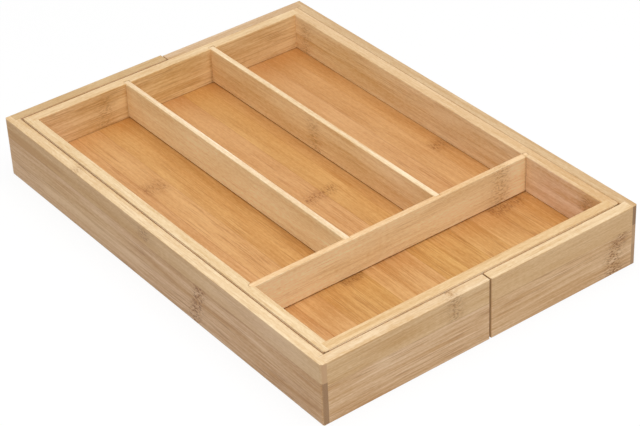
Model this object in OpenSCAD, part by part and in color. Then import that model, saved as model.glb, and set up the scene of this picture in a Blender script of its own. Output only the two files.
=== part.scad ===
// Expandable cutlery organizer made of bamboo boards.
// A tray with four compartments stands on two U-shaped wings, which slide out to the left and right.
// The origin is the middle of the closed organizer, on the table; X runs to the right and Y to the back.

/* [Closed organizer] */
// Width over both wings
closed_w = 303; // [270:1:360]
// Depth of the left wing, which is the deeper one
closed_d = 430; // [380:1:500]
// Height of the wing walls
wing_h = 54.5; // [48:0.5:70]
// Height of the tray rim above the wing rims
rim_step = 0.7; // [0:0.1:2]
// Depth that the left wing has over the right wing
back_step = 2; // [0:0.5:4]
// Distance of the seam between the wings from the middle, to the right
seam_shift = 4; // [-10:0.5:10]

/* [Boards] */
// Thickness of the wing walls
wing_t = 9.5; // [8:0.5:12]
// Thickness of the tray walls
tray_t = 9.5; // [8:0.5:12]
// Thickness of the dividers
divider_t = 5; // [4:0.5:8]
// Thickness of the wing floors
wing_floor_t = 4; // [3:0.5:6]
// Thickness of the tray floor
tray_floor_t = 4; // [3:0.5:6]
// Radius of the sanded edges
edge_r = 0.8; // [0.3:0.1:1.2]
// Radius of the outer upright corners of the wings and the tray
corner_r = 2.5; // [1:0.1:3]
// Radius of the upright edges of the wing fronts at the seam
seam_r = 1.6; // [0.5:0.1:3]

/* [Compartments] */
// Clear depth of the cross compartment at the front
front_bay = 85; // [60:1:120]
// Clear width of the middle one of the three long compartments
middle_bay = 82.5; // [60:0.5:110]
// Height of the wing floors above the table
wing_floor_z = 7; // [4:0.5:9]
// Height of the tray floor above the lower edges of the tray walls
tray_floor_lift = 6.5; // [4:0.5:9]

/* [Joinery] */
// Thickness of the lip on a wing side wall that covers the end of a front or back wall
wing_lip = 5; // [3:0.5:6]
// Thickness of the lip on a tray side wall that covers the end of a front or back wall
tray_lip = 5; // [3:0.5:6]
// Depth of the grooves that hold the wing floors
wing_groove = 4; // [3:0.5:5]
// Depth of the grooves that hold the tray floor
tray_groove = 4; // [3:0.5:5]
// Depth of the housings in the tray walls that hold the dividers
wall_housing = 3.5; // [2:0.5:4]
// Depth of the housings in the cross divider that hold the long dividers
cross_housing = 2; // [1:0.5:2.5]
// Height of the dividers above the tray floor
divider_lift = 0.6; // [0.2:0.1:1]

/* [Slide] */
// Travel of each wing
travel = 98; // [60:1:110]
// Diameter of the guide pins
pin_d = 5; // [4:0.5:6]
// Depth of the blind holes that hold the guide pins
pin_seat = 5.5; // [4:0.5:6.5]
// Chamfer at both ends of a guide pin
pin_chamfer = 0.6; // [0.3:0.1:1]
// Distance of the guide pins from the wing ends
pin_inset = 10; // [8:1:20]
// Height of the guide pins above the table
pin_z = 34; // [28:0.5:38]
// Depth of the guide grooves in the tray walls
guide_depth = 3.5; // [3:0.5:4]

/* [Clearances] */
// Gap between the wing fronts at the closed seam
seam_gap = 1; // [0.5:0.1:3]
// Gap between the wing backs at the closed seam
back_seam_gap = 0.4; // [0.3:0.1:3]
// Gap between the wing walls and the tray walls
play = 0.5; // [0.3:0.1:1]
// Gap between the tray walls and the wing floors
run_gap = 0.3; // [0.2:0.1:0.6]
// Gap around a guide pin in its groove
pin_gap = 0.3; // [0.2:0.1:0.5]
// Gap between the tip of a guide pin and the bottom of its groove
tip_gap = 0.5; // [0.3:0.1:1]
// Glue line around a board or a pin in its seat
glue_gap = 0.1; // [0.05:0.05:0.2]
// Gap behind the end of a divider in its housing
end_gap = 0.2; // [0.1:0.1:0.8]
// Play above the tray floor in its grooves
panel_play = 0.3; // [0.1:0.1:0.5]

/* [Hidden] */
$fn = 48;

wall_colour = [0.80, 0.66, 0.46];
divider_colour = [0.86, 0.71, 0.50];
floor_colour = [0.83, 0.62, 0.38];
pin_colour = [0.70, 0.54, 0.34];

// Outer planes of the wings, and the reach of each wing from its outer face to its end at the seam
outer_x = closed_w / 2;
front_y = -closed_d / 2;
left_reach = outer_x + seam_shift - seam_gap / 2;
right_reach = outer_x - seam_shift - seam_gap / 2;
left_d = closed_d;
right_d = closed_d - back_step;

// Length that each wing back has over the wing front
back_extra = (seam_gap - back_seam_gap) / 2;

// Outer box of the tray
tray_x = outer_x - wing_t - play;
tray_front_y = front_y + wing_t + play;
tray_back_y = front_y + right_d - wing_t - play;
tray_d = tray_back_y - tray_front_y;
tray_z = wing_floor_z + wing_floor_t + run_gap;
tray_top = wing_h + rim_step;
tray_h = tray_top - tray_z;

// Clear space inside the tray, and its floor
inner_x = tray_x - tray_t;
inner_front_y = tray_front_y + tray_t;
inner_back_y = tray_back_y - tray_t;
floor_x = inner_x + tray_groove;
floor_front_y = inner_front_y - tray_groove;
floor_z = tray_z + tray_floor_lift;
floor_size = [2 * floor_x, inner_back_y + tray_groove - floor_front_y, tray_floor_t];
divider_z = floor_z + tray_floor_t + divider_lift;
divider_h = tray_top - divider_z;

// Housings of the dividers: the cross divider's run between the side walls, and the long ones' run
cross_x = inner_x + wall_housing;
cross_y = inner_front_y + front_bay;
long_x = middle_bay / 2;
long_front_y = cross_y + divider_t - cross_housing;
long_back_y = inner_back_y + wall_housing;

// Grooves in the tray walls, each for one pin of either wing
guide_r = pin_d / 2 + pin_gap;
guide_left_x = left_reach - outer_x - pin_inset - travel;
guide_right_x = outer_x - right_reach + pin_inset + travel;

// Rectangle from the origin with rounded corners
module rounded_rect(size, r) {
    translate([r, 0])
        square([size.x - 2 * r, size.y]);
    translate([0, r])
        square([size.x, size.y - 2 * r]);
    for (x = [r, size.x - r], y = [r, size.y - r])
        translate([x, y])
            circle(r);
}

// Slot from the origin with round ends
module round_slot(long, wide) {
    translate([wide / 2, 0])
        square([long - wide, wide]);
    for (x = [wide / 2, long - wide / 2])
        translate([x, wide / 2])
            circle(d = wide);
}

// Board from the origin with all its edges sanded round; its upright edges may have a radius of their own
module eased_board(size, upright_r = edge_r) {
    intersection() {
        linear_extrude(size.z)
            rounded_rect([size.x, size.y], upright_r);
        translate([0, size.y, 0])
            rotate([90, 0, 0])
                linear_extrude(size.y)
                    rounded_rect([size.x, size.z], edge_r);
        rotate([90, 0, 90])
            linear_extrude(size.x)
                rounded_rect([size.y, size.z], edge_r);
    }
}

// Front board from the origin with its outer face at y = 0 and its long edges sanded round
// It is sawn square at the left or at both ends, where its inner edges stay square over the shoulder
module end_board(size, shoulder, both_ends, upright_r = edge_r) {
    spare = 2 * upright_r;
    block = 2 * edge_r;
    intersection() {
        translate([-spare, 0, 0])
            eased_board([size.x + (both_ends ? 2 : 1) * spare, size.y, size.z], upright_r);
        translate([0, -spare, -spare])
            cube([size.x, size.y + 2 * spare, size.z + 2 * spare]);
    }
    for (x = both_ends ? [0, size.x - shoulder] : [0])
        translate([x, size.y - block, 0])
            cube([shoulder, block, size.z]);
}

// Space that a box from the origin takes up in its seat, with the glue line on every side
module seat(size) {
    translate([-glue_gap, -glue_gap, -glue_gap])
        cube([size.x + 2 * glue_gap, size.y + 2 * glue_gap, size.z + 2 * glue_gap]);
}

// Side wall with its outer face at x = 0, rabbeted at both ends so that a lip covers the end boards
module rabbeted_side(thick, deep, high, lip, end_t) {
    difference() {
        eased_board([thick, deep, high], corner_r);
        for (y = [-end_t, deep - end_t])
            translate([lip, y, -edge_r])
                cube([thick, 2 * end_t, high + 2 * edge_r]);
    }
}

// Dowel along Y from its seat to its tip, chamfered at both ends
module dowel(seat_y, tip_y) {
    long = abs(tip_y - seat_y);
    r = pin_d / 2;
    translate([0, seat_y, 0])
        rotate([tip_y > seat_y ? -90 : 90, 0, 0])
            rotate_extrude()
                polygon([
                    [0, 0], [r - pin_chamfer, 0], [r, pin_chamfer],
                    [r, long - pin_chamfer], [r - pin_chamfer, long], [0, long]
                ]);
}

// Wing parts are drawn for the left wing; the right wing mirrors them with its own reach and depth
function wing_floor_size(reach, deep) = [
    reach - wing_t + wing_groove,
    deep - 2 * (wing_t - wing_groove),
    wing_floor_t
];
function pin_x(reach) = reach - outer_x - pin_inset;
function pin_seat_y(deep, at_back) = at_back
    ? front_y + deep - wing_t + pin_seat
    : front_y + wing_t - pin_seat;
function pin_tip_y(at_back) = at_back
    ? tray_back_y - guide_depth + tip_gap
    : tray_front_y + guide_depth - tip_gap;

module at_wing_floor() {
    translate([wing_t - wing_groove - outer_x, front_y + wing_t - wing_groove, wing_floor_z])
        children();
}

module wing_side(reach, deep) {
    difference() {
        translate([-outer_x, front_y, 0])
            rabbeted_side(wing_t, deep, wing_h, wing_lip, wing_t);
        at_wing_floor()
            seat(wing_floor_size(reach, deep));
    }
}

module wing_end(reach, deep, at_back) {
    long = reach - wing_lip + (at_back ? back_extra : 0);
    upright_r = at_back ? edge_r : seam_r;
    difference() {
        translate([wing_lip - outer_x, at_back ? front_y + deep : front_y, 0])
            mirror([0, at_back ? 1 : 0, 0])
                end_board([long, wing_t, wing_h], wing_t - wing_lip - edge_r, false, upright_r);
        at_wing_floor()
            seat(wing_floor_size(reach, deep));
        translate([pin_x(reach), pin_seat_y(deep, at_back), pin_z])
            rotate([at_back ? 90 : -90, 0, 0])
                cylinder(d = pin_d + 2 * glue_gap, h = 2 * pin_seat);
    }
}

module wing_floor(reach, deep) {
    at_wing_floor()
        eased_board(wing_floor_size(reach, deep));
}

module wing_pin(reach, deep, at_back) {
    translate([pin_x(reach), 0, pin_z])
        dowel(pin_seat_y(deep, at_back), pin_tip_y(at_back));
}

// Seats of the tray floor and of the dividers, cut out of the boards that hold them
module tray_floor_seat() {
    translate([-floor_x, floor_front_y, floor_z])
        seat(floor_size + [0, 0, panel_play]);
}

module cross_divider_seat() {
    translate([-cross_x - glue_gap, cross_y - glue_gap, divider_z - glue_gap])
        linear_extrude(divider_h + 2 * glue_gap)
            round_slot(2 * (cross_x + glue_gap), divider_t + 2 * glue_gap);
}

module long_divider_seat() {
    translate([long_x, long_front_y, divider_z])
        seat([divider_t, long_back_y - long_front_y, divider_h]);
}

// Stopped groove with round ends along the outer face of a tray wall
module guide_groove(face_y) {
    translate([0, face_y - guide_depth, pin_z]) {
        for (x = [guide_left_x, guide_right_x])
            translate([x, 0, 0])
                rotate([-90, 0, 0])
                    cylinder(r = guide_r, h = 2 * guide_depth);
        translate([guide_left_x, 0, -guide_r])
            cube([guide_right_x - guide_left_x, 2 * guide_depth, 2 * guide_r]);
    }
}

module tray_side_wall() {
    difference() {
        translate([-tray_x, tray_front_y, tray_z])
            rabbeted_side(tray_t, tray_d, tray_h, tray_lip, tray_t);
        tray_floor_seat();
        cross_divider_seat();
    }
}

module tray_end_wall(at_back) {
    translate([tray_lip - tray_x, at_back ? tray_back_y : tray_front_y, tray_z])
        mirror([0, at_back ? 1 : 0, 0])
            end_board([2 * (tray_x - tray_lip), tray_t, tray_h], tray_t - tray_lip - edge_r, true);
}

module long_divider() {
    translate([long_x, long_front_y + end_gap, divider_z])
        eased_board([divider_t, long_back_y - long_front_y - 2 * end_gap, divider_h]);
}

module tray_left_wall() {
    color(wall_colour)
        tray_side_wall();
}

module tray_right_wall() {
    color(wall_colour)
        mirror([1, 0, 0])
            tray_side_wall();
}

module tray_front_wall() {
    color(wall_colour)
        difference() {
            tray_end_wall(false);
            tray_floor_seat();
            guide_groove(tray_front_y);
        }
}

module tray_back_wall() {
    color(wall_colour)
        difference() {
            tray_end_wall(true);
            tray_floor_seat();
            guide_groove(tray_back_y);
            for (side = [0, 1])
                mirror([side, 0, 0])
                    long_divider_seat();
        }
}

module tray_floor() {
    color(floor_colour)
        translate([-floor_x, floor_front_y, floor_z])
            cube(floor_size);
}

module cross_divider() {
    long = 2 * (cross_x - end_gap);
    color(divider_colour)
        difference() {
            translate([-long / 2, cross_y, divider_z])
                intersection() {
                    linear_extrude(divider_h)
                        round_slot(long, divider_t);
                    rotate([90, 0, 90])
                        linear_extrude(long)
                            rounded_rect([divider_t, divider_h], edge_r);
                }
            for (side = [0, 1])
                mirror([side, 0, 0])
                    long_divider_seat();
        }
}

module left_long_divider() {
    color(divider_colour)
        mirror([1, 0, 0])
            long_divider();
}

module right_long_divider() {
    color(divider_colour)
        long_divider();
}

module left_wing_side() {
    color(wall_colour)
        wing_side(left_reach, left_d);
}

module left_wing_front() {
    color(wall_colour)
        wing_end(left_reach, left_d, false);
}

module left_wing_back() {
    color(wall_colour)
        wing_end(left_reach, left_d, true);
}

module left_wing_floor() {
    color(floor_colour)
        wing_floor(left_reach, left_d);
}

module left_wing_front_pin() {
    color(pin_colour)
        wing_pin(left_reach, left_d, false);
}

module left_wing_back_pin() {
    color(pin_colour)
        wing_pin(left_reach, left_d, true);
}

module right_wing_side() {
    color(wall_colour)
        mirror([1, 0, 0])
            wing_side(right_reach, right_d);
}

module right_wing_front() {
    color(wall_colour)
        mirror([1, 0, 0])
            wing_end(right_reach, right_d, false);
}

module right_wing_back() {
    color(wall_colour)
        mirror([1, 0, 0])
            wing_end(right_reach, right_d, true);
}

module right_wing_floor() {
    color(floor_colour)
        mirror([1, 0, 0])
            wing_floor(right_reach, right_d);
}

module right_wing_front_pin() {
    color(pin_colour)
        mirror([1, 0, 0])
            wing_pin(right_reach, right_d, false);
}

module right_wing_back_pin() {
    color(pin_colour)
        mirror([1, 0, 0])
            wing_pin(right_reach, right_d, true);
}

tray_left_wall();
tray_right_wall();
tray_front_wall();
tray_back_wall();
tray_floor();
cross_divider();
left_long_divider();
right_long_divider();
left_wing_side();
left_wing_front();
left_wing_back();
left_wing_floor();
left_wing_front_pin();
left_wing_back_pin();
right_wing_side();
right_wing_front();
right_wing_back();
right_wing_floor();
right_wing_front_pin();
right_wing_back_pin();
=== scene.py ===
"""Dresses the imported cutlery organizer: laminated bamboo on every board, a plain studio and the camera."""

import math
from dataclasses import dataclass

import bpy
from mathutils import Color, Matrix, Vector


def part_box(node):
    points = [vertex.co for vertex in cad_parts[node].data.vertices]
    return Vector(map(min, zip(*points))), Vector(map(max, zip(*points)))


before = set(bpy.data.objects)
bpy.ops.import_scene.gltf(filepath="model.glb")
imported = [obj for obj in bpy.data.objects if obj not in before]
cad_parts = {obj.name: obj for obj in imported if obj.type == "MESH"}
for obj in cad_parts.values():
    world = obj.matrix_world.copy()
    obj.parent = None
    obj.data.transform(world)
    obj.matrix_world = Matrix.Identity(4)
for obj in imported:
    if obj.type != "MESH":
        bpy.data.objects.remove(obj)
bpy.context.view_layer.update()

# Camera, in metres and degrees, in the frame of the part
CAMERA_PLACE = (-0.822297, -1.154284, 0.971242)
CAMERA_AZIMUTH = -35.766
CAMERA_ELEVATION = 34.358
CAMERA_ROLL = -2.859
CAMERA_LENS = 119.889
CAMERA_SENSOR = 36.0

# Studio light and floor
SKY_LIGHT = 0.48
KEY_POWER = 21.0
KEY_SIZE = 1.5
KEY_PLACE = (-0.12, -0.33, 1.6)
FLOOR_HALF = 5.0
FLOOR_BOUNCE = (0.75, 0.75, 0.75, 1.0)
FLOOR_SHADOW = 0.12


@dataclass
class KnuckleOrShadeLine:
    """A bamboo knuckle across a strip; one with no dots and a narrow half is a thin line of painted shade
    where two boards meet. Lengths are in millimetres, in the frame of the part.
    """

    # Both edges of the strip, and the knuckle's place along the grain at each
    across: tuple
    along: tuple
    # Half its width, the strength of its dots and of its stain (the painted shade, for a line), and how far
    # it bows
    half: float = 6.5
    dots: float = 0.7
    stain_and_shade: float = 0.12
    bow: float = 0.0


@dataclass
class Spot:
    """A soft spot on a board. Lengths are in millimetres, along and across the grain."""

    middle: tuple
    half: tuple
    # How pale it is, plus or minus, and its hue, from yellow, below nought, to pink
    tone: float = 0.0
    hue: float = 0.0


@dataclass
class Tone:
    """How a strip looks. A pair is for the low and the high end of the grain."""

    # How pale it is, plus or minus
    pale: tuple = (0.0, 0.0)
    # How bold its streaks are
    bold: tuple = (1.0, 1.0)
    # From yellow, below nought, to pink
    hue: float = 0.0


@dataclass
class Board:
    """How one board is cut and glued up. Lengths are in millimetres, in the frame of the part."""

    # Axis along the fibres, and axis through the board
    grain: str
    thick: str
    # Colour of the wide faces and of the narrow edges, as on a screen
    face: tuple
    edge: tuple
    # Start and width of the strips, and the look of each
    strips: tuple
    tones: tuple
    seed: int
    # How bold the broad bands are beside the fine streaks
    bands: float = 1.0
    # Knuckles, and thin lines of painted shade where boards meet
    knuckles_and_shade_lines: tuple = ()
    # Soft spots of the bamboo's own tone, and spots of painted light and painted shade
    spots_and_painted_shading: tuple = ()
    # How strong the painted shade is on its edge beside the gap to the next part: below nought on its low
    # face, above on its high face
    gap: float = 0.0


# Lay-ups: where the first strip starts across the grain, and how wide each strip is
SIDE_STRIPS = (1.0, 18.1)
END_STRIPS = (0.0, 33.5)
DIVIDER_STRIPS = (20.0, 40.0)
FLOOR_STRIPS = (-142.0, 21.5)
PIN_STRIPS = (20.0, 20.0)

PLAIN = (Tone(),)
FLOOR_TONES = (
    Tone(bold=(0.9, 0.7), hue=0.2),
    Tone(pale=(0.05, 0.0), bold=(0.9, 0.7), hue=0.2),
    Tone(pale=(0.28, 0.22), bold=(0.9, 0.7), hue=0.05),
    Tone(pale=(0.02, 0.0), bold=(0.9, 0.7), hue=-0.2),
    Tone(pale=(-0.12, -0.1), bold=(0.95, 0.7), hue=-0.25),
    Tone(pale=(0.1, 0.05), bold=(1.15, 0.45), hue=0.15),
    Tone(pale=(0.13, 0.08), bold=(1.15, 0.45), hue=0.2),
    Tone(pale=(0.05, 0.02), bold=(1.15, 0.45), hue=-0.25),
    Tone(pale=(0.12, -0.12), bold=(1.15, 0.45), hue=-0.1),
    Tone(pale=(0.0, 0.05), bold=(1.05, 0.32), hue=0.1),
    Tone(pale=(0.1, 0.14), bold=(1.05, 0.32), hue=0.25),
    Tone(pale=(0.03, 0.03), bold=(1.05, 0.32), hue=0.15),
    Tone(pale=(-0.12, -0.08), bold=(1.05, 0.32), hue=0.05),
    Tone(pale=(-0.1, -0.05), bold=(1.05, 0.32), hue=0.05),
)

BOARDS = {
    "left_wing_side": Board(
        # Its faces are darker and greyer than the front boards': partly the bamboo's own tone, partly
        # painted shade on this side
        grain="y", thick="x", face=(207, 168, 127), edge=(228, 197, 151), strips=SIDE_STRIPS,
        tones=(
            Tone(pale=(-0.1, 0.15), bold=(1.25, 1.05), hue=-0.05),
            Tone(pale=(-0.12, 0.03), bold=(1.25, 1.05), hue=-0.1),
            Tone(pale=(0.34, -0.25), bold=(0.28, 0.85), hue=-0.35),
        ),
        seed=1, bands=2.0,
        knuckles_and_shade_lines=(
            KnuckleOrShadeLine(across=(1, 37.2), along=(-54.6, -65.8), half=7.0, dots=1.2, stain_and_shade=0.15),
            KnuckleOrShadeLine(across=(41, 52), along=(8, 8), half=8.0, dots=0.5, stain_and_shade=0.15),
            KnuckleOrShadeLine(across=(53, 57), along=(108, 108), half=5.0, dots=0.4, stain_and_shade=0.15),
        ),
        spots_and_painted_shading=(
            Spot(middle=(-205, 35), half=(18, 25), tone=-0.15),
            Spot(middle=(150, 45), half=(40, 8), tone=-0.15),
            Spot(middle=(-140, 46), half=(60, 12), tone=0.05, hue=0.25),
            Spot(middle=(120, 18), half=(90, 20), tone=-0.04, hue=-0.2),
        ),
        gap=0.6,
    ),
    "left_wing_front": Board(
        grain="x", thick="y", face=(221, 183, 138), edge=(229, 199, 156), strips=END_STRIPS,
        tones=(
            Tone(pale=(-0.08, 0.1), bold=(1.2, 1.2), hue=0.02),
            Tone(pale=(-0.1, -0.05), bold=(0.78, 0.78), hue=-0.2),
        ),
        seed=2, bands=1.1,
        knuckles_and_shade_lines=(KnuckleOrShadeLine(across=(33.5, 60), along=(-29, -31), half=7.0, dots=0.5, stain_and_shade=0.18),),
        spots_and_painted_shading=(Spot(middle=(-118, 20), half=(30, 14), tone=-0.15),),
        gap=0.35,
    ),
    "left_wing_back": Board(
        grain="x", thick="y", face=(220, 181, 138), edge=(201, 166, 116), strips=END_STRIPS,
        tones=(
            Tone(bold=(1.1, 1.1), hue=0.05),
            Tone(pale=(0.05, -0.05), bold=(0.8, 0.8), hue=-0.1),
        ),
        seed=3, bands=1.2,
        knuckles_and_shade_lines=(KnuckleOrShadeLine(across=(0, 33.5), along=(-96, -92)),),
        gap=-0.4,
    ),
    "right_wing_side": Board(
        grain="y", thick="x", face=(216, 177, 136), edge=(207, 173, 127), strips=SIDE_STRIPS,
        tones=(
            Tone(pale=(-0.06, -0.1), bold=(1.1, 1.1), hue=0.05),
            Tone(pale=(0.06, 0.05), bold=(1.1, 1.1)),
            Tone(pale=(-0.25, 0.0), bold=(0.9, 0.9), hue=-0.1),
        ),
        seed=4, bands=2.0,
        knuckles_and_shade_lines=(
            KnuckleOrShadeLine(across=(19.1, 37.2), along=(84, 88)),
            KnuckleOrShadeLine(across=(1, 19.1), along=(-128, -126)),
        ),
        spots_and_painted_shading=(Spot(middle=(-160, 56), half=(90, 8), tone=0.08),),
        gap=-0.4,
    ),
    "right_wing_front": Board(
        grain="x", thick="y", face=(220, 181, 133), edge=(230, 200, 155), strips=END_STRIPS,
        tones=(
            Tone(pale=(0.0, -0.05), bold=(1.25, 1.25), hue=0.04),
            Tone(bold=(0.5, 0.5), hue=-0.12),
        ),
        seed=5, bands=0.8,
        knuckles_and_shade_lines=(KnuckleOrShadeLine(across=(0, 35), along=(129, 135), half=8.0, dots=1.0, stain_and_shade=0.12, bow=-4.0),),
        gap=0.15,
    ),
    "right_wing_back": Board(
        grain="x", thick="y", face=(220, 181, 138), edge=(210, 177, 137), strips=END_STRIPS,
        tones=(
            Tone(pale=(0, 0.05), bold=(1.1, 1.1), hue=0.05),
            Tone(pale=(0, -0.05), bold=(0.8, 0.8), hue=-0.1),
        ),
        seed=6, bands=1.2,
        knuckles_and_shade_lines=(KnuckleOrShadeLine(across=(33.5, 52), along=(62, 60)),),
        gap=-0.3,
    ),
    "tray_left_wall": Board(
        grain="y", thick="x", face=(236, 204, 160), edge=(229, 199, 152), strips=SIDE_STRIPS,
        tones=(
            Tone(bold=(0.8, 0.8)),
            Tone(pale=(0.05, -0.05), bold=(0.8, 0.8)),
            Tone(pale=(0, 0.05), bold=(0.8, 0.8)),
        ),
        seed=7, bands=1.5,
        knuckles_and_shade_lines=(KnuckleOrShadeLine(across=(19.1, 37.2), along=(20, 18)),),
        gap=-1.0,
    ),
    "tray_right_wall": Board(
        grain="y", thick="x", face=(240, 211, 166), edge=(221, 185, 137), strips=SIDE_STRIPS,
        tones=(
            Tone(pale=(-0.16, 0.0), bold=(0.62, 0.62)),
            Tone(pale=(-0.16, 0.0), bold=(0.62, 0.62)),
            Tone(pale=(-0.12, 0.0), bold=(0.62, 0.62)),
        ),
        seed=8, bands=1.6,
        knuckles_and_shade_lines=(
            KnuckleOrShadeLine(across=(20, 51), along=(180, 178), half=7.0, dots=0.4),
            KnuckleOrShadeLine(across=(37.2, 51), along=(-178, -181), half=8.0, dots=0.5, stain_and_shade=0.3),
        ),
        spots_and_painted_shading=(
            Spot(middle=(-192, 40), half=(12, 16), tone=-0.4),
            Spot(middle=(-150, 32), half=(40, 30), tone=-0.03, hue=0.6),
            Spot(middle=(130, 35), half=(80, 30), tone=-0.02, hue=-0.3),
        ),
        gap=0.8,
    ),
    "tray_front_wall": Board(
        grain="x", thick="y", face=(236, 204, 160), edge=(222, 186, 134), strips=END_STRIPS,
        tones=(
            Tone(bold=(0.9, 0.9)),
            Tone(pale=(0.05, -0.05), bold=(0.9, 0.9)),
        ),
        seed=9, bands=1.3,
        knuckles_and_shade_lines=(KnuckleOrShadeLine(across=(0, 33.5), along=(72, 76)),),
        gap=-0.8,
    ),
    "tray_back_wall": Board(
        grain="x", thick="y", face=(231, 196, 141), edge=(226, 192, 143), strips=END_STRIPS,
        tones=(
            Tone(pale=(0, -0.05), bold=(1.1, 1.1)),
            Tone(bold=(1.1, 1.1)),
        ),
        seed=10, bands=1.2,
        knuckles_and_shade_lines=(
            KnuckleOrShadeLine(across=(20, 51), along=(-70, -68), half=9.0, dots=0.36, stain_and_shade=0.13),
            # Not knuckles: thin lines of painted shade in the corners where the long dividers meet this wall
            KnuckleOrShadeLine(across=(20, 49), along=(40.2, 40.2), half=1.1, dots=0.0, stain_and_shade=0.34),
            KnuckleOrShadeLine(across=(20, 49), along=(-47.2, -47.2), half=1.1, dots=0.0, stain_and_shade=0.2),
        ),
        spots_and_painted_shading=(
            # Painted light: the next four are paler in the wall's inner corners, against the shade there
            Spot(middle=(-118, 36), half=(26, 40), tone=0.3, hue=0.2),
            Spot(middle=(-52, 28), half=(8, 22), tone=0.3),
            Spot(middle=(36, 28), half=(8, 22), tone=0.3),
            Spot(middle=(122, 36), half=(16, 40), tone=0.2),
            Spot(middle=(-4, 36), half=(34, 40), tone=-0.04, hue=-0.2),
        ),
        gap=0.6,
    ),
    "cross_divider": Board(
        grain="x", thick="y", face=(254, 230, 183), edge=(233, 195, 145), strips=DIVIDER_STRIPS,
        tones=(Tone(pale=(0.1, -0.1), bold=(0.52, 0.52)),),
        seed=11, bands=1.0,
        knuckles_and_shade_lines=(
            KnuckleOrShadeLine(across=(21, 59), along=(105, 106), half=9.0, dots=0.45, stain_and_shade=0.12),
            # Not a knuckle: a thin line of painted shade where the divider's end meets the right wall
            KnuckleOrShadeLine(across=(18, 60), along=(131.6, 131.6), half=0.8, dots=0.0, stain_and_shade=0.45),
        ),
        # Painted light: paler beside the right end, against the shade in the corner
        spots_and_painted_shading=(Spot(middle=(121, 30), half=(11, 30), tone=0.35),),
    ),
    "left_long_divider": Board(
        grain="y", thick="x", face=(251, 228, 180), edge=(239, 211, 170), strips=DIVIDER_STRIPS,
        tones=(Tone(pale=(0.1, -0.05), bold=(0.36, 0.36)),),
        seed=12, bands=2.4,
    ),
    "right_long_divider": Board(
        grain="y", thick="x", face=(242, 211, 159), edge=(238, 210, 167), strips=DIVIDER_STRIPS,
        tones=(Tone(pale=(0, -0.05), bold=(0.55, 0.55)),),
        seed=13, bands=1.8,
        knuckles_and_shade_lines=(KnuckleOrShadeLine(across=(21, 51), along=(44, 50), half=8.0, dots=0.4, stain_and_shade=0.1),),
        spots_and_painted_shading=(Spot(middle=(-70, 38), half=(45, 30), tone=0.07, hue=0.2),),
    ),
    "tray_floor": Board(
        grain="y", thick="z", face=(201, 150, 91), edge=(201, 150, 91), strips=FLOOR_STRIPS,
        tones=FLOOR_TONES,
        seed=14, bands=0.8,
        knuckles_and_shade_lines=(
            KnuckleOrShadeLine(across=(-100, -80), along=(89, 89), half=9.0, dots=0.4, stain_and_shade=0.22),
            KnuckleOrShadeLine(across=(-10, 22), along=(-8, -5), half=6.0, dots=0.62, stain_and_shade=0.2),
            KnuckleOrShadeLine(across=(116, 137), along=(-13, -12), half=7.0, dots=0.5, stain_and_shade=0.25),
            KnuckleOrShadeLine(across=(90, 125), along=(-116, -114), half=8.0, dots=0.6, stain_and_shade=0.25),
            KnuckleOrShadeLine(across=(-56, -34), along=(-113, -113), half=6.0, dots=0.5, stain_and_shade=0.35),
        ),
        spots_and_painted_shading=(
            Spot(middle=(-135, -84), half=(24, 18), tone=-0.5),
            # Painted shade: the next three darken the floor along the foot of the cross divider
            Spot(middle=(-122, -2), half=(18, 16), tone=-0.4),
            Spot(middle=(-120, 62), half=(18, 16), tone=-0.4),
            Spot(middle=(-130, 98), half=(26, 22), tone=-0.4),
            Spot(middle=(-160, -43), half=(25, 14), tone=0.15),
            # Painted shade: darker along the foot of the back wall
            Spot(middle=(190, 0), half=(16, 200), tone=-0.3),
            Spot(middle=(-155, 75), half=(42, 60), hue=-0.4),
            Spot(middle=(-150, -30), half=(40, 45), hue=-0.2),
            # Painted shade: darker towards the back of the right compartment
            Spot(middle=(175, 95), half=(28, 40), tone=-0.25),
            Spot(middle=(-50, 10), half=(40, 25), tone=0.08),
            Spot(middle=(80, 85), half=(60, 22), tone=0.12),
        ),
    ),
    "left_wing_floor": Board(
        grain="y", thick="z", face=(214, 162, 102), edge=(214, 162, 102), strips=FLOOR_STRIPS,
        tones=FLOOR_TONES,
        seed=15, bands=1.1,
        knuckles_and_shade_lines=(KnuckleOrShadeLine(across=(-99, -77.5), along=(-60, -58)),),
    ),
    "right_wing_floor": Board(
        grain="y", thick="z", face=(214, 162, 102), edge=(214, 162, 102), strips=FLOOR_STRIPS,
        tones=FLOOR_TONES,
        seed=16, bands=1.1,
        knuckles_and_shade_lines=(KnuckleOrShadeLine(across=(51.5, 73), along=(110, 112)),),
    ),
}

# The four guide pins, which are hidden and differ only in their seeds
PIN_COLOUR = (230, 190, 144)
PIN_SEEDS = {
    "left_wing_front_pin": 17,
    "left_wing_back_pin": 18,
    "right_wing_front_pin": 19,
    "right_wing_back_pin": 20,
}
for pin, pin_seed in PIN_SEEDS.items():
    BOARDS[pin] = Board(
        grain="y", thick="x", face=PIN_COLOUR, edge=PIN_COLOUR, strips=PIN_STRIPS, tones=PLAIN,
        seed=pin_seed,
    )

# Millimetres in a metre: the grain is laid out in millimetres
MM = 1000.0

# Middle of what runs from nought to one, such as a noise, a tone or the way across a strip
MIDDLE = 0.5

AXES = "xyz"

# Colours: the highest value in a screen colour, and white for a shader
SCREEN_TOP = 255.0
WHITE = (1.0, 1.0, 1.0, 1.0)

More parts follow.
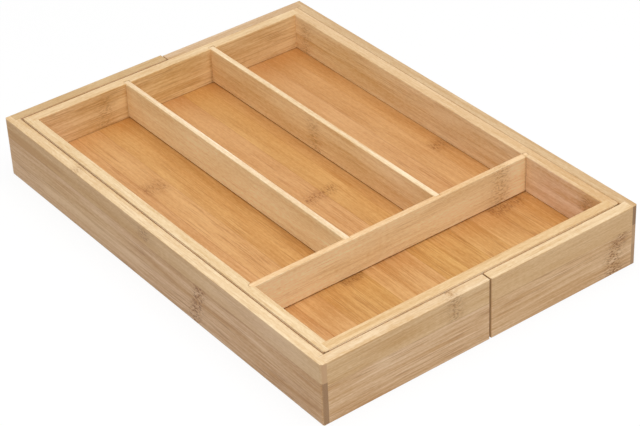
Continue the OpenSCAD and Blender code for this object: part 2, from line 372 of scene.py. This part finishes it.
# Grain: length along and width across the fibres, in millimetres, and detail of the noise
BROAD = (190.0, 5.5, 2.0)
STREAK = (55.0, 1.9, 2.0)
FIBRE = (32.0, 0.55, 1.0)
DASH = (28.0, 0.9, 0.0)
PATCH = (70.0, 14.0, 1.0)
SWAY = (150.0, 55.0, 1.0)
CLOUD = (80.0, 22.0, 1.0)
CURL = (9.0, 7.0, 1.0)
FLECK = (3.8, 0.85, 1.0)
BLOTCH = (18.0, 5.0, 2.0)
MOTTLE = (6.0, 2.6, 1.0)
DOTS = (2.8, 1.2, 1.0)
PORES = (0.5, 0.5, 1.0)

# Grain: how far each part of it moves the tone, where 0 is deep and 1 is pale
BROAD_SHARE = 0.8
STREAK_SHARE = 1.3
FIBRE_SHARE = 0.55
CLOUD_SHARE = 0.75
FLECK_SHARE = 0.8
BLOTCH_SHARE = 0.5
STRIP_SPREAD = 0.10
LAYER_SPREAD = 0.22
MOTTLE_SHARE = 1.4
PORE_SHARE = 1.0

# Grain: how far the fibres sway, and how far they curl at a knuckle, in millimetres
SWAY_WIDTH = 5.0
CURL_WIDTH = 6.0

# Edges: how bold their figure is, and how much of the strip's tone they keep
EDGE_CONTRAST = 0.46
EDGE_TONE = 0.3

# Ends: how much stronger the strip's tone is in cross-cut wood
END_STRIP_SHARE = 2.0

# Dashes: where the noises make dashes and patches of them, and how dark they are
DASH_FROM, DASH_TO = 0.56, 0.70
PATCH_FROM, PATCH_TO = 0.40, 0.65
DASH_SHARE = 0.55

# Glue lines: half their width, in millimetres, and how dark they are
GLUE_HALF = 0.25
GLUE_SHARE = 0.35

# Gaps: how far from its face the painted shade beside a gap reaches into an edge, in millimetres
GAP_SHADE_WIDTH = 0.8

# Knuckles: where the noise makes dots, and how soft the ends are, in millimetres
DOT_FROM, DOT_TO = 0.48, 0.62
KNUCKLE_SOFT = 2.0

# Knuckles: what brings the middle of a bow, x times 1 - x, up to one
BOW_PEAK = 4.0

# Colours of the deep, pale, dashed, knuckled (also for the thin lines of painted shade where boards meet),
# gap-side painted shade and cross-cut wood, as shares of the board's own
DEEP = (0.82, 0.70, 0.53)
PALE = (1.18, 1.28, 1.47)
DARK = (0.62, 0.48, 0.36)
BURNT_AND_SHADE = (0.46, 0.32, 0.19)
GAP_SHADE = (0.2, 0.12, 0.03)
END_DEEP = (0.46, 0.40, 0.34)
END_PALE = (0.99, 0.97, 0.94)

# Hue: the tints of the most yellow and the most pink strip
YELLOW = (1.0, 1.02, 0.85, 1.0)
PINK = (1.0, 0.99, 1.18, 1.0)

# How far a surface is turned before it counts as an edge or as cross-cut wood
EDGE_TURN = (0.4, 0.9)
END_TURN = (0.5, 0.9)

# Strips: each has a grain of its own, by its number, its layer and its board
LAYERS = 3
STRIP_STEP = 7.31
LAYER_STEP = 3.17
SEED_STEP = 17.9
STRIP_SHIFT = 900.0

# Strips: how their written values are kept around the middle of a colour ramp, which holds nought to one
WRITTEN_SCALE = 0.2

# Finish
ROUGHNESS = 0.52
ROUGHNESS_SPREAD = 0.20
SPECULAR = 0.35
BUMP_STRENGTH = 0.35
BUMP_DISTANCE = 0.00012
DASH_DEPTH = 0.6
KNUCKLE_DEPTH = 0.5


def shaded(colour, share):
    """A screen colour, darkened or lightened by a share of each of its parts, as a shader's colour."""
    linear = Color([part / SCREEN_TOP for part in colour]).from_srgb_to_scene_linear()
    return (*(part * by for part, by in zip(linear, share)), 1.0)


class Net:
    """A node tree, with one short call for each kind of node that the scene uses."""

    # Sockets of the Mix node for colours, which share their names with those for numbers
    MIX_FIRST, MIX_SECOND, MIX_RESULT = 6, 7, 2

    def __init__(self, tree):
        self.tree = tree
        tree.nodes.clear()

    def node(self, kind, **settings):
        made = self.tree.nodes.new(kind)
        for name, value in settings.items():
            setattr(made, name, value)
        return made

    def feed(self, socket, value):
        if isinstance(value, bpy.types.NodeSocket):
            self.tree.links.new(value, socket)
        else:
            socket.default_value = value

    def math(self, operation, *values, clamp=False):
        made = self.node("ShaderNodeMath", operation=operation, use_clamp=clamp)
        for socket, value in zip(made.inputs, values):
            self.feed(socket, value)
        return made.outputs[0]

    def add(self, first, *others):
        for other in others:
            first = self.math("ADD", first, other)
        return first

    def less(self, first, second):
        return self.math("SUBTRACT", first, second)

    def times(self, first, *others):
        for other in others:
            first = self.math("MULTIPLY", first, other)
        return first

    def over(self, first, second):
        return self.math("DIVIDE", first, second)

    def blend(self, share, first, second):
        """A number that runs from the first to the second as the share goes from 0 to 1."""
        made = self.node("ShaderNodeMix", data_type="FLOAT", clamp_factor=True)
        # The second socket, a factor for vectors, stays as it is
        for socket, value in zip(made.inputs, (share, None, first, second)):
            if value is not None:
                self.feed(socket, value)
        return made.outputs[0]

    def centred(self, value, share):
        """A value from 0 to 1 as a plus or minus around nought, at the given share."""
        return self.times(self.less(value, MIDDLE), share)

    def bell(self, value):
        """One at nought, falling smoothly to nothing on both sides."""
        return self.math("EXPONENT", self.times(value, value, -1.0))

    def vector(self, x, y, z):
        made = self.node("ShaderNodeCombineXYZ")
        for socket, value in zip(made.inputs, (x, y, z)):
            self.feed(socket, value)
        return made.outputs[0]

    def split(self, vector):
        made = self.node("ShaderNodeSeparateXYZ")
        self.feed(made.inputs[0], vector)
        return dict(zip(AXES, made.outputs))

    def random(self, number):
        made = self.node("ShaderNodeTexWhiteNoise", noise_dimensions="1D")
        self.feed(made.inputs["W"], number)
        return self.split(made.outputs["Color"])

    def ramp(self, value, low, high):
        """Nought below low and one above high, with a smooth rise between them."""
        made = self.node("ShaderNodeMapRange", interpolation_type="SMOOTHSTEP")
        for name, given in zip(("Value", "From Min", "From Max"), (value, low, high)):
            self.feed(made.inputs[name], given)
        return made.outputs[0]

    def mix(self, share, first, second):
        made = self.node("ShaderNodeMix", data_type="RGBA", clamp_factor=True)
        self.feed(made.inputs["Factor"], share)
        self.feed(made.inputs[self.MIX_FIRST], first)
        self.feed(made.inputs[self.MIX_SECOND], second)
        return made.outputs[self.MIX_RESULT]

    def mix_shaders(self, share, first, second):
        made = self.node("ShaderNodeMixShader")
        for socket, value in zip(made.inputs, (share, first, second)):
            self.feed(socket, value)
        return made.outputs[0]

    def tinted(self, colour, tint):
        made = self.node("ShaderNodeMix", data_type="RGBA", blend_type="MULTIPLY")
        made.inputs["Factor"].default_value = 1.0
        self.feed(made.inputs[self.MIX_FIRST], colour)
        self.feed(made.inputs[self.MIX_SECOND], tint)
        return made.outputs[self.MIX_RESULT]


class Point:
    """Where a point lies on its board, in millimetres, and how the surface is turned to the grain there."""

    def __init__(self, net, board, lowest, highest):
        coordinates = net.node("ShaderNodeTexCoord")
        scaled = net.node("ShaderNodeVectorMath", operation="SCALE")
        net.feed(scaled.inputs[0], coordinates.outputs["Object"])
        scaled.inputs["Scale"].default_value = MM
        places = net.split(scaled.outputs[0])
        turns = net.split(coordinates.outputs["Normal"])
        wide = (set(AXES) - {board.grain, board.thick}).pop()
        self.along = places[board.grain]
        self.across = places[wide]
        self.through = places[board.thick]
        self.on_end = net.ramp(net.math("ABSOLUTE", turns[board.grain]), *END_TURN)
        self.on_edge = net.ramp(net.math("ABSOLUTE", turns[wide]), *EDGE_TURN)
        low = dict(zip(AXES, lowest))
        span = {axis: high - low[axis] for axis, high in zip(AXES, highest)}
        self.part_way = net.over(net.less(self.along, low[board.grain] * MM), span[board.grain] * MM)
        layer = net.over(net.less(self.through, low[board.thick] * MM), span[board.thick] * MM / LAYERS)
        self.layer = net.math("FLOOR", layer)
        self.gap = self.painted_gap_shade(net, board, low[board.thick] * MM, span[board.thick] * MM)

    def painted_gap_shade(self, net, board, low, span):
        """Painted shade on the board's edge beside a gap: most at the face, nothing a little further in."""
        if not board.gap:
            return 0.0
        face = low if board.gap < 0 else low + span
        off = net.math("ABSOLUTE", net.less(self.through, face))
        return net.times(net.ramp(off, GAP_SHADE_WIDTH, 0.0), self.on_edge, abs(board.gap))


class Strip:
    """The glued strip that a point is in: its tone, contrast and hue, three random values, its glue line."""

    def __init__(self, net, board, point):
        start, width = board.strips
        place = net.over(net.less(point.across, start), width)
        number = net.add(
            net.times(net.math("FLOOR", place), STRIP_STEP),
            net.times(point.layer, LAYER_STEP),
            board.seed * SEED_STEP,
        )
        self.random = net.random(number)
        near, far, hue = self.written(net, place, [(*tone.pale, tone.hue) for tone in board.tones])
        calm = net.blend(point.on_edge, 1.0, EDGE_TONE)
        self.tone = net.times(net.blend(point.part_way, near, far), calm)
        self.hue = hue
        near, far, _ = self.written(net, place, [(*tone.bold, 0.0) for tone in board.tones])
        self.contrast = net.blend(point.on_edge, net.blend(point.part_way, near, far), EDGE_CONTRAST)
        beside = net.math("LESS_THAN", net.math("PINGPONG", place, MIDDLE), GLUE_HALF / width)
        self.glue = net.times(beside, net.less(1.0, point.on_edge))

    @staticmethod
    def written(net, place, rows):
        """Three values for the strip at this place, from one row of them for each strip."""
        made = net.node("ShaderNodeValToRGB")
        steps = made.color_ramp
        steps.interpolation = "CONSTANT"
        steps.elements.remove(steps.elements[1])
        for number, row in enumerate(rows):
            step = steps.elements.new(number / len(rows)) if number else steps.elements[0]
            step.color = (*(MIDDLE + value * WRITTEN_SCALE for value in row), 1.0)
        net.feed(made.inputs["Fac"], net.over(place, len(rows)))
        values = net.split(made.outputs["Color"]).values()
        return [net.over(net.less(value, MIDDLE), WRITTEN_SCALE) for value in values]


def fibres(net, point, along, across, size):
    """A noise that is long along the fibres and narrow across them."""
    length, width, detail = size
    made = net.node("ShaderNodeTexNoise")
    place = net.vector(net.over(along, length), net.over(across, width), net.over(point.through, width))
    net.feed(made.inputs["Vector"], place)
    made.inputs["Scale"].default_value = 1.0
    made.inputs["Detail"].default_value = detail
    return made.outputs["Fac"]


def knuckle_or_shade_line_ring(net, point, knuckle):
    """One in the middle of a knuckle or a line of painted shade, falling to nothing beside it."""
    low, high = knuckle.across
    at_low, at_high = knuckle.along
    part_way = net.over(net.less(point.across, low), high - low)
    bowed = net.times(part_way, net.less(1.0, part_way), BOW_PEAK * knuckle.bow)
    middle = net.add(net.times(part_way, at_high - at_low), bowed, at_low)
    off = net.over(net.less(point.along, middle), knuckle.half)
    above = net.ramp(point.across, low - KNUCKLE_SOFT, low + KNUCKLE_SOFT)
    below = net.ramp(point.across, high + KNUCKLE_SOFT, high - KNUCKLE_SOFT)
    return net.times(net.bell(off), above, below)


def soft_spot(net, point, spot):
    """One in the middle of a soft spot, falling to nothing around it."""
    places = zip((point.along, point.across), spot.middle, spot.half)
    return net.times(*(net.bell(net.over(net.less(place, middle), half)) for place, middle, half in places))


class Grain:
    """The fibres at a point: bands, streaks, fine lines, flecks and dark dashes, which curl at knuckles."""

    def __init__(self, net, board, point, strip):
        rings = [(knuckle, knuckle_or_shade_line_ring(net, point, knuckle)) for knuckle in board.knuckles_and_shade_lines]
        self.knuckle = net.add(0.0, *(net.times(ring, knuckle.dots) for knuckle, ring in rings))
        stain_and_shade = net.add(0.0, *(net.times(ring, knuckle.stain_and_shade) for knuckle, ring in rings))
        along = net.add(point.along, net.times(strip.random["x"], STRIP_SHIFT))
        sway = net.centred(fibres(net, point, along, point.across, SWAY), SWAY_WIDTH)
        curl = net.centred(fibres(net, point, along, point.across, CURL), CURL_WIDTH)
        across = net.add(point.across, sway, net.times(curl, self.knuckle))
        # Soft spots: some are the bamboo's own tone and hue, some are painted light and painted shade
        spots_and_painted_shading = [(spot, soft_spot(net, point, spot)) for spot in board.spots_and_painted_shading]
        self.spots_and_painted_shading = net.add(0.0, *(net.times(share, spot.tone) for spot, share in spots_and_painted_shading if spot.tone))
        self.tint = net.add(0.0, *(net.times(share, spot.hue) for spot, share in spots_and_painted_shading if spot.hue))
        self.cloud = fibres(net, point, along, across, CLOUD)
        self.broad = fibres(net, point, along, across, BROAD)
        self.streak = fibres(net, point, along, across, STREAK)
        self.fibre = fibres(net, point, along, across, FIBRE)
        self.fleck = fibres(net, point, along, across, FLECK)
        self.blotch = fibres(net, point, along, across, BLOTCH)
        self.mottle = fibres(net, point, along, across, MOTTLE)
        dash = net.ramp(fibres(net, point, along, across, DASH), DASH_FROM, DASH_TO)
        patch = net.ramp(fibres(net, point, along, across, PATCH), PATCH_FROM, PATCH_TO)
        self.dash = net.times(dash, patch)
        dots = net.ramp(fibres(net, point, along, across, DOTS), DOT_FROM, DOT_TO)
        # Knuckle stains and dots, and the thin lines of painted shade at joints
        self.mark = net.add(net.times(self.knuckle, dots), stain_and_shade)
        self.pores = fibres(net, point, point.along, point.across, PORES)


def long_grain_colour(net, board, point, strip, grain):
    """The colour of the faces and edges, which are cut along the fibres."""
    figure = net.add(
        net.centred(grain.broad, BROAD_SHARE * board.bands),
        net.centred(grain.streak, STREAK_SHARE),
        net.centred(grain.fibre, FIBRE_SHARE),
        net.centred(strip.random["y"], STRIP_SPREAD),
        net.times(net.centred(strip.random["z"], LAYER_SPREAD), point.on_edge),
    )
    speckles = net.times(net.centred(grain.mottle, MOTTLE_SHARE), grain.knuckle)
    flecks = net.centred(grain.fleck, FLECK_SHARE)
    blotches = net.times(net.centred(grain.blotch, BLOTCH_SHARE), point.on_edge)
    clouds_and_painted_shading = net.add(grain.spots_and_painted_shading, net.centred(grain.cloud, CLOUD_SHARE), speckles, flecks, blotches)
    tone = net.add(MIDDLE, strip.tone, clouds_and_painted_shading, net.times(figure, strip.contrast))
    deep = net.mix(point.on_edge, shaded(board.face, DEEP), shaded(board.edge, DEEP))
    pale = net.mix(point.on_edge, shaded(board.face, PALE), shaded(board.edge, PALE))
    colour = net.mix(tone, deep, pale)
    dark = shaded(board.face, DARK)
    colour = net.mix(net.times(grain.dash, strip.contrast, DASH_SHARE), colour, dark)
    colour = net.mix(net.times(strip.glue, GLUE_SHARE), colour, dark)
    # Knuckle marks, and the thin lines of painted shade where boards meet
    colour = net.mix(grain.mark, colour, shaded(board.face, BURNT_AND_SHADE))
    # Painted shade on the edge beside the gap between parts
    colour = net.mix(point.gap, colour, shaded(board.face, GAP_SHADE))
    hue = net.times(net.add(strip.hue, grain.tint), net.less(1.0, point.on_edge))
    return net.tinted(colour, net.mix(net.add(hue, MIDDLE), YELLOW, PINK))


def end_grain_colour(net, board, strip, grain):
    """The colour of the ends, where the fibres are cut across."""
    tone = net.add(
        MIDDLE,
        net.times(strip.tone, END_STRIP_SHARE),
        net.centred(grain.pores, PORE_SHARE),
    )
    return net.mix(tone, shaded(board.face, END_DEEP), shaded(board.face, END_PALE))


def bamboo_material(name, board):
    """Laminated bamboo for one board, laid out in the board's own place, so that it moves with the board."""
    material = bpy.data.materials.new(f"bamboo_{name}")
    material.use_nodes = True
    net = Net(material.node_tree)
    point = Point(net, board, *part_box(name))
    strip = Strip(net, board, point)
    grain = Grain(net, board, point, strip)
    colour = net.mix(
        point.on_end,
        long_grain_colour(net, board, point, strip, grain),
        end_grain_colour(net, board, strip, grain),
    )
    dents = net.add(net.times(grain.dash, DASH_DEPTH), net.times(grain.mark, KNUCKLE_DEPTH))
    bump = net.node("ShaderNodeBump")
    bump.inputs["Strength"].default_value = BUMP_STRENGTH
    bump.inputs["Distance"].default_value = BUMP_DISTANCE
    net.feed(bump.inputs["Height"], net.less(grain.fibre, dents))
    shader = net.node("ShaderNodeBsdfPrincipled")
    shader.inputs["Specular IOR Level"].default_value = SPECULAR
    net.feed(shader.inputs["Base Color"], colour)
    net.feed(shader.inputs["Roughness"], net.add(ROUGHNESS, net.centred(grain.fibre, ROUGHNESS_SPREAD)))
    net.feed(shader.inputs["Normal"], bump.outputs["Normal"])
    output = net.node("ShaderNodeOutputMaterial")
    net.feed(output.inputs["Surface"], shader.outputs[0])
    return material


def dress_boards():
    """Gives every CAD node its bamboo."""
    for name, board in BOARDS.items():
        material = bamboo_material(name, board)
        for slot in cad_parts[name].material_slots:
            slot.material = material


def seen_directly(net):
    """One for a ray from the camera, or one that a shiny or clear surface sends on, else nought."""
    path = net.node("ShaderNodeLightPath")
    shown = net.math("MAXIMUM", path.outputs["Is Camera Ray"], path.outputs["Is Glossy Ray"])
    return net.math("MAXIMUM", shown, path.outputs["Is Transmission Ray"])


def white_world():
    """A white background that lights the part as a soft plain sky."""
    world = bpy.data.worlds.new("studio")
    world.use_nodes = True
    bpy.context.scene.world = world
    net = Net(world.node_tree)
    sky = net.node("ShaderNodeBackground")
    sky.inputs["Color"].default_value = WHITE
    sky.inputs["Strength"].default_value = SKY_LIGHT
    backdrop = net.node("ShaderNodeBackground")
    backdrop.inputs["Color"].default_value = WHITE
    mixed = net.mix_shaders(seen_directly(net), sky.outputs[0], backdrop.outputs[0])
    output = net.node("ShaderNodeOutputWorld")
    net.feed(output.inputs["Surface"], mixed)


def floor_material():
    """A white floor that keeps the part's shadow, softened, and throws back a plain grey light."""
    material = bpy.data.materials.new("studio_floor")
    material.use_nodes = True
    net = Net(material.node_tree)
    bounce = net.node("ShaderNodeBsdfDiffuse")
    bounce.inputs["Color"].default_value = FLOOR_BOUNCE
    paper = net.node("ShaderNodeBsdfDiffuse")
    paper.inputs["Color"].default_value = WHITE
    white = net.node("ShaderNodeEmission")
    shown = net.mix_shaders(FLOOR_SHADOW, white.outputs[0], paper.outputs[0])
    mixed = net.mix_shaders(seen_directly(net), bounce.outputs[0], shown)
    output = net.node("ShaderNodeOutputMaterial")
    net.feed(output.inputs["Surface"], mixed)
    return material


def lay_floor():
    """The studio floor, under the part."""
    mesh = bpy.data.meshes.new("studio_floor")
    half = FLOOR_HALF
    corners = [(-half, -half, 0), (half, -half, 0), (half, half, 0), (-half, half, 0)]
    mesh.from_pydata(corners, [], [(0, 1, 2, 3)])
    mesh.materials.append(floor_material())
    floor = bpy.data.objects.new("studio_floor", mesh)
    bpy.context.scene.collection.objects.link(floor)


def hang_key_light():
    """One large soft lamp above the part, a little in front of it."""
    lamp = bpy.data.lights.new("key", "AREA")
    lamp.shape = "SQUARE"
    lamp.size = KEY_SIZE
    lamp.energy = KEY_POWER
    light = bpy.data.objects.new("key", lamp)
    light.location = KEY_PLACE
    light.rotation_mode = "QUATERNION"
    light.rotation_quaternion = (-Vector(KEY_PLACE)).to_track_quat("-Z", "Y")
    bpy.context.scene.collection.objects.link(light)


def set_camera():
    """The camera at the photographed view."""
    azimuth = math.radians(CAMERA_AZIMUTH)
    elevation = math.radians(CAMERA_ELEVATION)
    flat = math.cos(elevation)
    back = Vector((math.sin(azimuth) * flat, -math.cos(azimuth) * flat, math.sin(elevation)))
    right = Vector((math.cos(azimuth), math.sin(azimuth), 0))
    turn = Matrix((right, back.cross(right), back)).transposed().to_4x4()
    turn = turn @ Matrix.Rotation(math.radians(CAMERA_ROLL), 4, "Z")
    data = bpy.data.cameras.new("photo")
    data.sensor_fit = "HORIZONTAL"
    data.sensor_width = CAMERA_SENSOR
    data.lens = CAMERA_LENS
    camera = bpy.data.objects.new("photo", data)
    camera.matrix_world = Matrix.Translation(CAMERA_PLACE) @ turn
    bpy.context.scene.collection.objects.link(camera)
    bpy.context.scene.camera = camera


bpy.context.scene.view_settings.view_transform = "Standard"
set_camera()
lay_floor()
white_world()
hang_key_light()
dress_boards()
